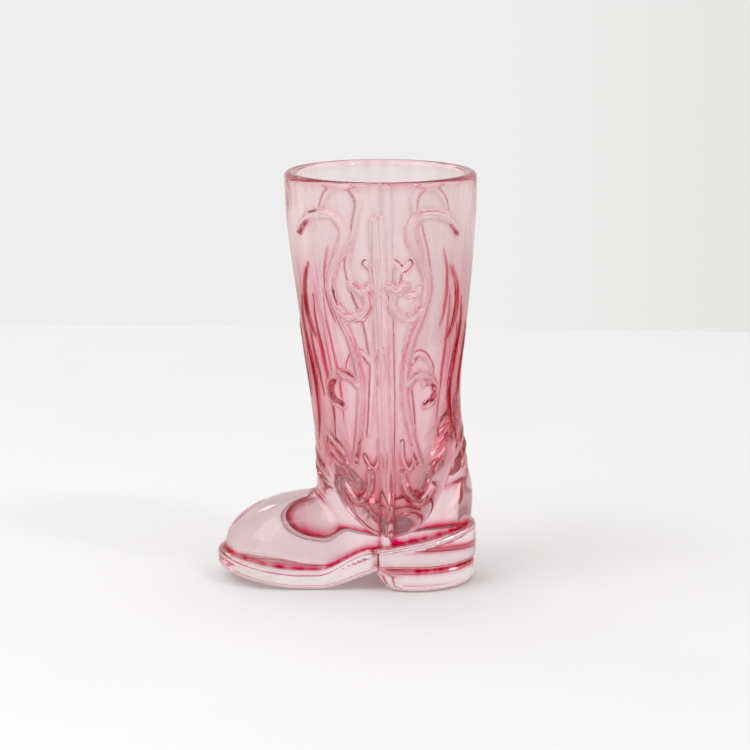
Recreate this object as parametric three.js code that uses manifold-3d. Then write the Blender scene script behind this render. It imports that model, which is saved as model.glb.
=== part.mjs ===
// A boot shot glass: one piece of tinted pressed glass in the shape of a western boot.
// Millimetres, +Z up. The toe points to -X and the heel to +X, and the origin lies on the table
// under the middle of the foot. Inside this file x is measured from the axis of the leg.
import * as THREE from "three";
import { mergeVertices } from "three/addons/utils/BufferGeometryUtils.js";
import Module from "manifold-3d";

// Leg: a round lip above, an egg-shaped ankle below. Reaches are measured from the leg's axis.
const HEIGHT = 86;
const RIM_RADIUS = 20;
const SHOULDER = { belowRim: 10, front: 19.5, back: 19.8, side: 19.5 };
const CALF = { z: 60, front: 17.4, back: 18.6, side: 17.5 };
const WAIST = { z: 40, front: 14.8, back: 16.8, side: 15 };
const ANKLE = { z: 25, front: 13.3, back: 18.2, side: 13.5 };
const COUNTER = { z: 18.5, back: 19.4 };
const ANKLE_CENTRE = 2;
const INSTEP_FILLET = 1.8;
const FLARE_POWER = 6;

// Lip and cavity: the plunger that presses the drink's space is a round taper with a blunt tip.
const LIP_WALL = 2.5;
const LIP_FLAT = 0.3;
const CAVITY_FLOOR = 9.6;
const PLUNGER_TIP = 10.5;
const PLUNGER_WAIST = { radius: 12, z: 30 };
const PLUNGER_SHIFT = 2.4;

// Foot outline in plan: a forepart with a round toe and a seat with a round heel. Both have rounded
// corners where they meet, so that a valley runs up each side between them.
const TOE_REACH = 34.3;
const TOE_LENGTH = 14.3;
const TOE_HALF_WIDTH = 14.2;
const SOLE_WAIST = { x: -6, halfWidth: 13.6 };
const FOREPART_END = { x: 2.5, corner: 3 };
const SEAT_FRONT = { x: -0.5, corner: 4.5 };
const HEEL_REACH = 20.2;
const HEEL_LENGTH = 13.2;
const HEEL_HALF_WIDTH = 15;
const LEDGE = 1.6;

// Sole: it springs up at the toe, rests on the ball, rises at the arch and climbs to the heel.
const TOE_SPRING = 2.6;
const BALL = { front: -16, back: -12.5 };
const SPRING_CURVE = 1.3;
const ARCH_END = 4;
const CLIMB_START = -1;
const HEEL_HEIGHT = 4.4;
const SOLE_THICKNESS = 3.9;
const SEAT_CLIMB = 4;
const SOLE_EDGE = 1.3;

// Vamp: arched sections under a rounded ridge line. Behind the instep it sinks into the leg.
const VAMP_HEIGHT = 18.4;
const VAMP_CREST = -8;
const VAMP_RIDGE = 2.2;
const VAMP_ARCH = 2.4;
const VAMP_SINK = { start: -6, end: 6, depth: 3 };

// Heel block, with a breast that leans to the toe as it rises
const BREAST_X = 2;
const BREAST_LEAN = -0.75;
const BREAST_CORNER = 4.5;
const HEEL_INSET = 0.4;
const HEEL_EDGE = 0.9;

// Raised stitching. Each line is drawn on the quarter between the side seam and the back of the leg
// as [degrees from the seam, percent up the panel], and is mirrored to the other three quarters.
const PLAIN_BAND = 6;
const PANEL_FOOT = 16;
const RIB_RADIUS = 0.98;
const RIB_RISE = 0.75;
const SEAM_RADIUS = 1.75;
const SEAM_RISE = 0.85;
const SEAM_TOP = 98;
const SCROLLS = {
  longCurl: {
    points: [
      [56, 92], [46, 97], [34, 99], [25, 98], [20, 93], [24, 87], [31, 79], [32, 73], [27, 65],
      [21, 58], [17, 49], [16, 41], [18, 33], [21, 25], [25, 17],
    ],
    steps: 21,
  },
  cup: { points: [[8, 73], [8, 69], [14, 66], [23, 66], [27, 68]], steps: 7 },
  bud: { points: [[5, 76], [11, 74], [17, 76]], steps: 4 },
  hook: { points: [[18, 43], [25, 46], [33, 46], [41, 43], [43, 40], [39, 37], [33, 36]], steps: 8 },
  footLoop: { points: [[12, 14], [14, 8], [23, 4], [34, 9]], steps: 6 },
};

// How finely curves are divided
const RING = 48;
const CAVITY_SIDES = 40;
const ARC_STEPS = 12;
const VALLEY_STEPS = 8;
const VALLEY_HALVINGS = 30;
const RIB_SIDES = 5;
const SEAM_STEPS = 9;
const EDGE_STEPS = 3;
const LIP_STEPS = 4;
const FILLET_STEPS = 3;
const LEG_STEPS = 12;
const WALL_STEPS = 16;
const VAMP_STEPS = 8;
const BURY = 2;

const glass = () =>
  new THREE.MeshStandardMaterial({
    color: 0xe9a3b3,
    roughness: 0.04,
    metalness: 0,
    transparent: true,
    opacity: 0.45,
  });

// A smooth curve through stations given as [position, value], in rising order of position.
function smooth(stations) {
  const slope = stations.map((_, i) => {
    const before = stations[Math.max(i - 1, 0)];
    const after = stations[Math.min(i + 1, stations.length - 1)];
    return (after[1] - before[1]) / (after[0] - before[0]);
  });
  return (at) => {
    const last = stations.length - 2;
    const above = stations.findIndex(([p]) => p > at);
    const k = above < 0 ? last : Math.max(above - 1, 0);
    const [[p0, v0], [p1, v1]] = [stations[k], stations[k + 1]];
    const span = p1 - p0;
    const t = THREE.MathUtils.clamp((at - p0) / span, 0, 1);
    const [t2, t3] = [t * t, t * t * t];
    return (
      v0 * (2 * t3 - 3 * t2 + 1) +
      v1 * (3 * t2 - 2 * t3) +
      span * (slope[k] * (t3 - 2 * t2 + t) + slope[k + 1] * (t3 - t2))
    );
  };
}

// A closed solid through rings of equal length. Each ring is mirrored across y = 0, so that point i
// faces point n - i, and the two end rings are closed by rungs between those pairs.
function loft(rings) {
  const n = rings[0].length;
  const faces = [];
  rings.slice(1).forEach((_, r) => {
    for (let i = 0; i < n; i++) {
      const a = r * n + i;
      const b = r * n + ((i + 1) % n);
      faces.push(a, b, b + n, a, b + n, a + n);
    }
  });
  const closeEnd = (first, flip) => {
    for (let i = 0; i < n / 2; i++) {
      const [p, q, r, s] = [i, i + 1, n - i - 1, (n - i) % n].map((k) => first + k);
      for (const tri of [[p, r, q], [p, s, r]]) {
        if (new Set(tri).size === 3) faces.push(...(flip ? tri.reverse() : tri));
      }
    }
  };
  closeEnd(0, false);
  closeEnd((rings.length - 1) * n, true);
  return new THREE.BufferGeometry().setFromPoints(rings.flat()).setIndex(faces);
}

// A closed solid through open arches that lie across the foot, each closed by its own base line.
function archLoft(arches) {
  const n = arches[0].length;
  const faces = [];
  arches.slice(1).forEach((_, r) => {
    for (let i = 0; i < n; i++) {
      const a = r * n + i;
      const b = r * n + ((i + 1) % n);
      faces.push(a, b + n, b, a, a + n, b + n);
    }
  });
  const last = (arches.length - 1) * n;
  for (let i = 1; i < n - 1; i++) faces.push(0, i, i + 1, last, last + i + 1, last + i);
  return new THREE.BufferGeometry().setFromPoints(arches.flat()).setIndex(faces);
}

const wasm = await Module();
wasm.setup();

// Three.js geometry to a solid that can be cut, and back.
function solid(geometry) {
  const bare = geometry.clone();
  bare.deleteAttribute("normal");
  bare.deleteAttribute("uv");
  const merged = mergeVertices(bare, 1e-4);
  const mesh = new wasm.Mesh({
    numProp: 3,
    vertProperties: new Float32Array(merged.attributes.position.array),
    triVerts: new Uint32Array(merged.index.array),
  });
  return new wasm.Manifold(mesh);
}

function geometryOf(body) {
  const mesh = body.getMesh();
  const geometry = new THREE.BufferGeometry();
  geometry.setAttribute("position", new THREE.BufferAttribute(mesh.vertProperties, 3));
  geometry.setIndex(new THREE.BufferAttribute(mesh.triVerts, 1));
  geometry.computeVertexNormals();
  return geometry;
}

// An edge rounded over by a quarter circle: [how far in, how far along] for each step from the flat.
function roundedEdge(radius, steps) {
  return Array.from({ length: steps + 1 }, (_, i) => {
    const angle = (i / steps) * (Math.PI / 2);
    return [radius * (1 - Math.sin(angle)), radius * (1 - Math.cos(angle))];
  });
}

// A rounded end by the share of its length that lies behind. A power of 2 makes it a quarter ellipse.
function roundEnd(share, power = 2) {
  return Math.max(1 - share ** power, 0) ** (1 / power);
}

// Plan of the foot: half of its width at x, inset from the outline of the forepart and of the seat
const toeCentre = TOE_LENGTH - TOE_REACH;
const heelCentre = HEEL_REACH - HEEL_LENGTH;
const foreSide = smooth([
  [toeCentre - TOE_LENGTH, TOE_HALF_WIDTH],
  [toeCentre, TOE_HALF_WIDTH],
  [SOLE_WAIST.x, SOLE_WAIST.halfWidth],
  [FOREPART_END.x, SOLE_WAIST.halfWidth],
]);

function foreHalfWidth(x, inset) {
  if (x < toeCentre) {
    return (TOE_HALF_WIDTH - inset) * roundEnd((toeCentre - x) / (TOE_LENGTH - inset));
  }
  return foreSide(x) - inset;
}

function heelHalfWidth(x, inset) {
  const past = Math.max(x - heelCentre, 0);
  return (HEEL_HALF_WIDTH - inset) * roundEnd(past / (HEEL_LENGTH - inset));
}

// What a rounded corner takes off the width, past the point where the corner starts
function cornerLoss(past, corner, inset) {
  const radius = corner - inset;
  return radius * (1 - roundEnd(Math.min(Math.max(past / radius, 0), 1)));
}

function cornered(x, inset) {
  const foreEdge = FOREPART_END.x - FOREPART_END.corner;
  const seatEdge = SEAT_FRONT.x + SEAT_FRONT.corner;
  return {
    fore: foreHalfWidth(x, inset) - cornerLoss(x - foreEdge, FOREPART_END.corner, inset),
    seat: heelHalfWidth(x, inset) - cornerLoss(seatEdge - x, SEAT_FRONT.corner, inset),
  };
}

// Where the forepart and the seat meet, found by halving
function valleyPlace(inset) {
  let [low, high] = [SEAT_FRONT.x, FOREPART_END.x];
  for (let i = 0; i < VALLEY_HALVINGS; i++) {
    const middle = (low + high) / 2;
    const { fore, seat } = cornered(middle, inset);
    if (fore > seat) low = middle;
    else high = middle;
  }
  return (low + high) / 2;
}

function footHalfWidth(x, inset) {
  const { fore, seat } = cornered(x, inset);
  return x < valleyPlace(inset) ? fore : seat;
}

// Places along the foot from the tip of the toe to the back of the heel, close together at both ends
// and next to the valley.
function footPlaces(inset) {
  const quarter = (i) => Math.cos((i / ARC_STEPS) * (Math.PI / 2));
  const valley = valleyPlace(inset);
  const places = [];
  for (let i = 0; i < ARC_STEPS; i++) places.push(toeCentre - (TOE_LENGTH - inset) * quarter(i));
  for (let i = 0; i < ARC_STEPS; i++) {
    places.push(THREE.MathUtils.lerp(valley, toeCentre, quarter(i)));
  }
  for (let i = 0; i < VALLEY_STEPS; i++) {
    places.push(THREE.MathUtils.lerp(valley, heelCentre, i / VALLEY_STEPS));
  }
  for (let i = ARC_STEPS; i >= 0; i--) places.push(heelCentre + (HEEL_LENGTH - inset) * quarter(i));
  return places;
}

// A whole ring from its -Y half, which runs from one end of the foot to the other.
function mirrored(near) {
  const far = near.slice(1, -1).reverse();
  return [...near, ...far.map((p) => new THREE.Vector3(p.x, -p.y, p.z))];
}

function footRing(inset, height) {
  return mirrored(
    footPlaces(inset).map((x) => new THREE.Vector3(x, -footHalfWidth(x, inset), height(x))),
  );
}

// Underside and top of the sole along the foot. The top climbs sooner than the underside.
function toeSpring(x) {
  const share = Math.max(BALL.front - x, 0) / (TOE_REACH + BALL.front);
  return TOE_SPRING * share ** SPRING_CURVE;
}

function soleBottom(x) {
  return toeSpring(x) + HEEL_HEIGHT * THREE.MathUtils.smoothstep(x, BALL.back, ARCH_END);
}

function soleTop(x) {
  const climb = THREE.MathUtils.clamp((x - CLIMB_START) / (HEEL_REACH - CLIMB_START), 0, 1);
  const rise = HEEL_HEIGHT * THREE.MathUtils.smoothstep(x, BALL.back, CLIMB_START);
  return toeSpring(x) + rise + SOLE_THICKNESS + SEAT_CLIMB * climb;
}

function makeSole() {
  const edge = roundedEdge(SOLE_EDGE, EDGE_STEPS);
  const lower = edge.map(([inset, rise]) => footRing(inset, (x) => soleBottom(x) + rise));
  const upper = edge.map(([inset, rise]) => footRing(inset, (x) => soleTop(x) - rise));
  return solid(loft([...lower, ...upper.reverse()]));
}

// Heel block: the back of the foot's outline closed by a breast with rounded corners.
function heelRing(inset, z) {
  const cut = HEEL_INSET + inset;
  const breast = BREAST_X + BREAST_LEAN * z + inset;
  const cornerEnd = breast + BREAST_CORNER;
  const near = [new THREE.Vector3(breast, 0, z)];
  for (let i = 0; i < ARC_STEPS; i++) {
    const angle = (i / ARC_STEPS) * (Math.PI / 2);
    const x = breast + BREAST_CORNER * (1 - Math.cos(angle));
    const width = heelHalfWidth(cornerEnd, cut) - BREAST_CORNER * (1 - Math.sin(angle));
    near.push(new THREE.Vector3(x, -width, z));
  }
  for (let i = 0; i <= 2 * ARC_STEPS; i++) {
    const share = Math.sin((i / (2 * ARC_STEPS)) * (Math.PI / 2));
    const x = THREE.MathUtils.lerp(cornerEnd, HEEL_REACH - cut, share);
    near.push(new THREE.Vector3(x, -heelHalfWidth(x, cut), z));
  }
  return mirrored(near);
}

function makeHeel() {
  const edge = roundedEdge(HEEL_EDGE, EDGE_STEPS);
  const lower = edge.map(([inset, rise]) => heelRing(inset, rise));
  const upper = edge.map(([inset, rise]) => heelRing(inset, HEEL_HEIGHT - rise));
  return solid(loft([...lower, ...upper.reverse()]));
}

// Outline of the leg by height. Its foot is tied to the sole, so that the ledge runs all round.
const seatHeight = soleTop(ANKLE_CENTRE);
const seatSide = foreSide(ANKLE_CENTRE) - LEDGE;
const seatBack = HEEL_REACH - LEDGE;
const legLow = seatHeight - BURY;
const lipRadius = (LIP_WALL - LIP_FLAT) / 2;
const legCurve = (key, low, extra = []) =>
  smooth([
    [legLow, low],
    ...extra,
    [ANKLE.z, ANKLE[key]],
    [WAIST.z, WAIST[key]],
    [CALF.z, CALF[key]],
    [HEIGHT - SHOULDER.belowRim, SHOULDER[key]],
    [HEIGHT, RIM_RADIUS],
  ]);
const legSide = legCurve("side", seatSide);
const legBack = legCurve("back", seatBack, [[COUNTER.z, COUNTER.back]]);
const legFront = legCurve("front", ANKLE.front);
const legCentre = smooth([
  [legLow, ANKLE_CENTRE],
  [ANKLE.z, ANKLE_CENTRE],
  [HEIGHT, 0],
]);

// How far the front of the leg flares into the vamp at a height
function instepFlare(z) {
  const below = THREE.MathUtils.clamp(VAMP_HEIGHT + INSTEP_FILLET - z, 0, INSTEP_FILLET);
  return INSTEP_FILLET - Math.sqrt(INSTEP_FILLET ** 2 - below ** 2);
}

// A point of the leg's skin. Turn is measured from the heel side round by +Y.
function legPoint(turn, z, inset = 0) {
  const [c, s] = [Math.cos(turn), Math.sin(turn)];
  const centre = legCentre(z);
  const along = c < 0 ? legFront(z) + centre : legBack(z) - centre;
  const flare = c < 0 ? instepFlare(z) * c ** FLARE_POWER : 0;
  return new THREE.Vector3(
    centre + (along + flare - inset) * c,
    (legSide(z) - inset) * s,
    z,
  );
}

function legRing(z, inset) {
  return Array.from({ length: RING }, (_, i) =>
    legPoint(Math.PI + (i / RING) * 2 * Math.PI, z, inset),
  );
}

function makeLeg() {
  const filletTop = VAMP_HEIGHT + INSTEP_FILLET;
  const heights = [legLow, seatHeight + BURY];
  for (let i = 0; i < FILLET_STEPS; i++) {
    heights.push(VAMP_HEIGHT + INSTEP_FILLET * Math.sin((i / FILLET_STEPS) * (Math.PI / 2)));
  }
  for (let i = 0; i < LEG_STEPS; i++) {
    heights.push(THREE.MathUtils.lerp(filletTop, HEIGHT - lipRadius, i / LEG_STEPS));
  }
  const rings = heights.map((z) => legRing(z, 0));
  roundedEdge(lipRadius, LIP_STEPS)
    .reverse()
    .forEach(([inset, drop]) => rings.push(legRing(HEIGHT - drop, inset)));
  return solid(loft(rings));
}

// The space for the drink, turned on its own axis and then leaned towards the heel as it goes down.
function makeCavity() {
  const mouth = RIM_RADIUS - LIP_WALL;
  const wall = new THREE.CubicBezierCurve(
    new THREE.Vector2(0, CAVITY_FLOOR),
    new THREE.Vector2(PLUNGER_TIP, CAVITY_FLOOR),
    new THREE.Vector2(PLUNGER_WAIST.radius, PLUNGER_WAIST.z),
    new THREE.Vector2(mouth, HEIGHT - lipRadius),
  );
  const profile = wall.getPoints(WALL_STEPS);
  roundedEdge(lipRadius, LIP_STEPS)
    .reverse()
    .slice(1)
    .forEach(([inset, drop]) => profile.push(new THREE.Vector2(mouth + inset, HEIGHT - drop)));
  const above = HEIGHT + LIP_WALL;
  profile.push(new THREE.Vector2(mouth + lipRadius, above), new THREE.Vector2(0, above));
  const turned = new THREE.LatheGeometry(profile, CAVITY_SIDES).rotateX(Math.PI / 2);
  const place = turned.attributes.position;
  for (let i = 0; i < place.count; i++) {
    const depth = (HEIGHT - place.getZ(i)) / (HEIGHT - CAVITY_FLOOR);
    place.setX(i, place.getX(i) + PLUNGER_SHIFT * Math.max(depth, 0));
  }
  return solid(turned);
}

// Vamp: arches across the foot, from the tip of the toe back into the leg.
function ridge(x) {
  const length = TOE_REACH - LEDGE + VAMP_CREST;
  const base = soleTop(LEDGE - TOE_REACH);
  return base + (VAMP_HEIGHT - base) * roundEnd(Math.max(VAMP_CREST - x, 0) / length, VAMP_RIDGE);
}

function vampArch(x) {
  const sink = VAMP_SINK.depth * THREE.MathUtils.smoothstep(x, VAMP_SINK.start, VAMP_SINK.end);
  const width = foreHalfWidth(x, LEDGE) - sink;
  const base = soleTop(x) - BURY;
  const rise = ridge(x) - base;
  const steps = RING / 2;
  return Array.from({ length: steps + 1 }, (_, i) => {
    const angle = (i / steps) * Math.PI;
    const across = Math.sign(Math.cos(angle)) * Math.abs(Math.cos(angle)) ** (2 / VAMP_ARCH);
    const up = Math.sin(angle) ** (2 / VAMP_ARCH);
    return new THREE.Vector3(x, -width * across, base + rise * up);
  });
}

function makeVamp() {
  const firstAngle = 0.03;
  const places = [];
  for (let i = 0; i < ARC_STEPS; i++) {
    const angle = THREE.MathUtils.lerp(firstAngle, Math.PI / 2, i / ARC_STEPS);
    places.push(toeCentre - (TOE_LENGTH - LEDGE) * Math.cos(angle));
  }
  for (let i = 0; i <= VAMP_STEPS; i++) {
    places.push(THREE.MathUtils.lerp(toeCentre, ANKLE_CENTRE, i / VAMP_STEPS));
  }
  return solid(archLoft(places.map(vampArch)));
}

// A raised line on the leg: a round bar half sunk in the skin, with round ends.
function rib(skinPoints, radius, steps, sides) {
  const path = new THREE.CatmullRomCurve3(skinPoints);
  const round = new THREE.Shape(
    Array.from({ length: sides }, (_, i) => {
      const angle = ((i + 0.5) / sides) * 2 * Math.PI;
      return new THREE.Vector2(radius * Math.cos(angle), radius * Math.sin(angle));
    }),
  );
  const bar = new THREE.ExtrudeGeometry(round, { steps, extrudePath: path, curveSegments: 1 });
  const ends = [skinPoints[0], skinPoints.at(-1)].map((p) =>
    new THREE.SphereGeometry(radius, sides, 4).rotateX(Math.PI / 2).translate(p.x, p.y, p.z),
  );
  return ends.reduce((made, end) => made.add(solid(end)), solid(bar));
}

function panelHeight(percent) {
  return THREE.MathUtils.mapLinear(percent, 0, 100, PANEL_FOOT, HEIGHT - PLAIN_BAND);
}

function makeOrnament() {
  const ribs = [];
  for (const { points, steps } of Object.values(SCROLLS)) {
    for (const side of [-1, 1]) {
      for (const way of [-1, 1]) {
        const skin = points.map(([degrees, percent]) => {
          const turn = side * (Math.PI / 2 - way * THREE.MathUtils.degToRad(degrees));
          return legPoint(turn, panelHeight(percent), RIB_RADIUS - RIB_RISE);
        });
        ribs.push(rib(skin, RIB_RADIUS, steps, RIB_SIDES));
      }
    }
  }
  for (const side of [-1, 1]) {
    const bottom = seatHeight - BURY / 2;
    const top = panelHeight(SEAM_TOP);
    const skin = Array.from({ length: SEAM_STEPS + 1 }, (_, i) => {
      const z = THREE.MathUtils.lerp(bottom, top, i / SEAM_STEPS);
      return legPoint(side * (Math.PI / 2), z, SEAM_RADIUS - SEAM_RISE);
    });
    ribs.push(rib(skin, SEAM_RADIUS, SEAM_STEPS, 2 * RIB_SIDES));
  }
  return ribs;
}

const sole = makeSole();
const heel = makeHeel().subtract(sole);
const body = makeOrnament().reduce((made, line) => made.add(line), makeLeg().add(makeVamp()));
const upper = body.subtract(makeCavity()).subtract(sole);

// The leg and the vamp meet in a plane across the instep, below the top of its fillet.
const instep = -ANKLE.front;
const splitTop = VAMP_HEIGHT + INSTEP_FILLET;
const front = new THREE.BoxGeometry(TOE_REACH, 4 * RIM_RADIUS, 2 * splitTop);
const toeSide = solid(front.translate(instep - TOE_REACH / 2, 0, 0));

const boot = new THREE.Group();
boot.position.x = (TOE_REACH - HEEL_REACH) / 2;
const pieces = {
  leg: upper.subtract(toeSide),
  vamp: upper.intersect(toeSide),
  sole,
  heel,
};
for (const [name, piece] of Object.entries(pieces)) {
  const mesh = new THREE.Mesh(geometryOf(piece), glass());
  mesh.name = name;
  boot.add(mesh);
}

export default boot;
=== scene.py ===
"""Boot shot glass of pink pressed glass, dressed for a studio picture.

The glass is one closed body, so that light runs through it without inner faces. Its outer skin, its
relief and the space for the drink are written as distance fields in millimetres, with x measured from
the axis of the leg (the toe at -x, the heel at +x). The fields are blended with small fillets, as a
mould blends them, turned into one mesh, and moved into the part's frame in metres.
"""
import logging
import math
from dataclasses import dataclass, field
from enum import Enum
from typing import Callable

import bpy
import numpy as np
from mathutils import Matrix, Vector


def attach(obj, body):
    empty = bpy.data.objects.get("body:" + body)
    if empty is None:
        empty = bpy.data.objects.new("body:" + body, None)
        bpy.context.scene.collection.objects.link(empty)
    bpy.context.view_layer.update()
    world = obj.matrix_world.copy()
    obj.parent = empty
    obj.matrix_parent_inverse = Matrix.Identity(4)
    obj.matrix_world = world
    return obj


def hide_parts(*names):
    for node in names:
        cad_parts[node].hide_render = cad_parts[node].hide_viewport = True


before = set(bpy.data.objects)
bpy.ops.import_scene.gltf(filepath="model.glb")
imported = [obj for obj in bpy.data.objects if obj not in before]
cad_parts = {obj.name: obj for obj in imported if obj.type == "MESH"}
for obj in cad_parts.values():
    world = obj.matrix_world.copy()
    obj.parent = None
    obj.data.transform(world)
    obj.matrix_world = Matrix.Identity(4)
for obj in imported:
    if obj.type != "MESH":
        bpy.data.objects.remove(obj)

Array = np.ndarray
Field = Callable[[Array, Array, Array], Array]
Span = tuple[float, float]

log = logging.getLogger("boot_glass")

METRES_PER_MM = 0.001
TINY = 1e-6
LEAST_GROWTH = 1e-4
FILM_AND_SHADE = "film"
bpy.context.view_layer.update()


# Small helpers for nodes


def linear_colour(code: str, alpha: float = 1.0) -> tuple[float, float, float, float]:
    """Turns an sRGB hex colour into the linear values that shaders use.

    Args:
        code: colour such as "#f4c2cb".
        alpha: opacity of the colour.

    Returns:
        Linear red, green, blue and the alpha.
    """
    shares = [int(code[i : i + 2], 16) / 255 for i in (1, 3, 5)]
    red, green, blue = (s / 12.92 if s <= 0.04045 else ((s + 0.055) / 1.055) ** 2.4 for s in shares)
    return red, green, blue, alpha


def add_node(
    tree: bpy.types.NodeTree,
    kind: str,
    settings: dict[str, object] | None = None,
    inputs: dict[str | int, object] | None = None,
) -> bpy.types.Node:
    """Adds one shader node with its settings, values and links.

    Args:
        tree: node tree that takes the node.
        kind: Blender's type name of the node.
        settings: properties of the node itself.
        inputs: by input name or number, a value or the output socket that feeds it.

    Returns:
        The new node.
    """
    node = tree.nodes.new(kind)
    for name, value in (settings or {}).items():
        setattr(node, name, value)
    for name, value in (inputs or {}).items():
        if isinstance(value, bpy.types.NodeSocket):
            tree.links.new(value, node.inputs[name])
        else:
            node.inputs[name].default_value = value
    return node


def mapped(
    tree: bpy.types.NodeTree, value: bpy.types.NodeSocket, given: Span, wanted: Span, smooth: bool = False
) -> bpy.types.NodeSocket:
    """Adds a change from one range of values to another.

    Args:
        tree: node tree that takes the node.
        value: socket that gives the value.
        given: values where the change starts and ends.
        wanted: results at these two values, held past them.
        smooth: whether the change has level ends.

    Returns:
        The socket with the result.
    """
    settings = {"interpolation_type": "SMOOTHSTEP" if smooth else "LINEAR"}
    inputs = {
        "Value": value,
        "From Min": given[0],
        "From Max": given[1],
        "To Min": wanted[0],
        "To Max": wanted[1],
    }
    return add_node(tree, "ShaderNodeMapRange", settings, inputs).outputs["Result"]


def product(
    tree: bpy.types.NodeTree, first: bpy.types.NodeSocket, second: bpy.types.NodeSocket
) -> bpy.types.NodeSocket:
    """Adds the product of two sockets, kept between 0 and 1."""
    settings = {"operation": "MULTIPLY", "use_clamp": True}
    return add_node(tree, "ShaderNodeMath", settings, {0: first, 1: second}).outputs["Value"]


def mixed_colour(
    tree: bpy.types.NodeTree, share: bpy.types.NodeSocket, first: str, second: str
) -> bpy.types.NodeSocket:
    """Adds a blend of two colours.

    Args:
        tree: node tree that takes the blend.
        share: socket with the share of the second colour.
        first: sRGB hex colour at share 0.
        second: sRGB hex colour at share 1.

    Returns:
        The socket with the colour.
    """
    node = add_node(tree, "ShaderNodeMix", {"data_type": "RGBA"}, {"Factor": share})
    colours = [socket for socket in node.inputs if socket.type == "RGBA"]
    for socket, code in zip(colours, (first, second)):
        socket.default_value = linear_colour(code)
    return next(socket for socket in node.outputs if socket.type == "RGBA")


def noise(
    tree: bpy.types.NodeTree, place: bpy.types.NodeSocket, width: float, height: float, detail: float
) -> bpy.types.NodeSocket:
    """Adds a noise pattern.

    Args:
        tree: node tree that takes the pattern.
        place: coordinates in metres.
        width: size of the spots across, in millimetres.
        height: size of the spots along the height, in millimetres.
        detail: how much finer noise is mixed in.

    Returns:
        The pattern, from 0 to 1.
    """
    across, along = (1.0 / (size * METRES_PER_MM) for size in (width, height))
    scaled = add_node(
        tree, "ShaderNodeVectorMath", {"operation": "MULTIPLY"}, {0: place, 1: (across, across, along)}
    )
    inputs = {"Vector": scaled.outputs["Vector"], "Scale": 1.0, "Detail": detail}
    return add_node(tree, "ShaderNodeTexNoise", inputs=inputs).outputs["Fac"]


def empty_material(name: str) -> bpy.types.Material:
    """Makes a material without any nodes."""
    made = bpy.data.materials.new(name)
    made.use_nodes = True
    made.node_tree.nodes.clear()
    return made


# Small helpers for forms


def smooth_step(start: float, end: float, at: Array) -> Array:
    """Rises from 0 at start to 1 at end with level ends."""
    share = np.clip((at - start) / (end - start), 0.0, 1.0)
    return share * share * (3.0 - 2.0 * share)


def blended_union(first: Array, second: Array, reach: float) -> Array:
    """Joins two distance fields with a fillet.

    Args:
        first: distance to one form.
        second: distance to the other form.
        reach: how near the two skins have to be for the fillet to start, in millimetres.

    Returns:
        Distance to the joined form.
    """
    share = np.maximum(reach - np.abs(first - second), 0.0) / reach
    return np.minimum(first, second) - share**3 * (reach / 6.0)


def rounded_overlap(first: Array, second: Array, radius: float) -> Array:
    """Keeps what two distance fields share, with the edge between them rounded over.

    Args:
        first: distance to one form.
        second: distance to the other form.
        radius: radius of the rounded edge in millimetres.

    Returns:
        Distance to the common form.
    """
    past_first = first + radius
    past_second = second + radius
    corner = np.sqrt(np.maximum(past_first, 0.0) ** 2 + np.maximum(past_second, 0.0) ** 2)
    return np.minimum(np.maximum(past_first, past_second), 0.0) + corner - radius


class Profile:
    """A smooth curve through a few stations, each a position and the value there."""

    def __init__(self, *stations: Span) -> None:
        """Sorts out the stations, which come in rising order of position."""
        self.places = np.array([place for place, _ in stations], dtype=float)
        self.values = np.array([value for _, value in stations], dtype=float)
        before = np.maximum(np.arange(len(stations)) - 1, 0)
        after = np.minimum(np.arange(len(stations)) + 1, len(stations) - 1)
        self.slopes = (self.values[after] - self.values[before]) / (self.places[after] - self.places[before])

    def __call__(self, at: Array) -> Array:
        """Reads the curve, which is held level past both ends.

        Args:
            at: positions to read.

        Returns:
            The value at each position.
        """
        at = np.asarray(at, dtype=float)
        low = np.clip(np.searchsorted(self.places, at, side="right") - 1, 0, len(self.places) - 2)
        span = self.places[low + 1] - self.places[low]
        share = np.clip((at - self.places[low]) / span, 0.0, 1.0)
        ease = share * share * (3.0 - 2.0 * share)
        leave = self.slopes[low] * (share - 1.0) ** 2 * share
        arrive = self.slopes[low + 1] * (share - 1.0) * share * share
        return self.values[low] * (1.0 - ease) + self.values[low + 1] * ease + span * (leave + arrive)


# Forms of the boot, in millimetres from the axis of the leg


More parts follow.
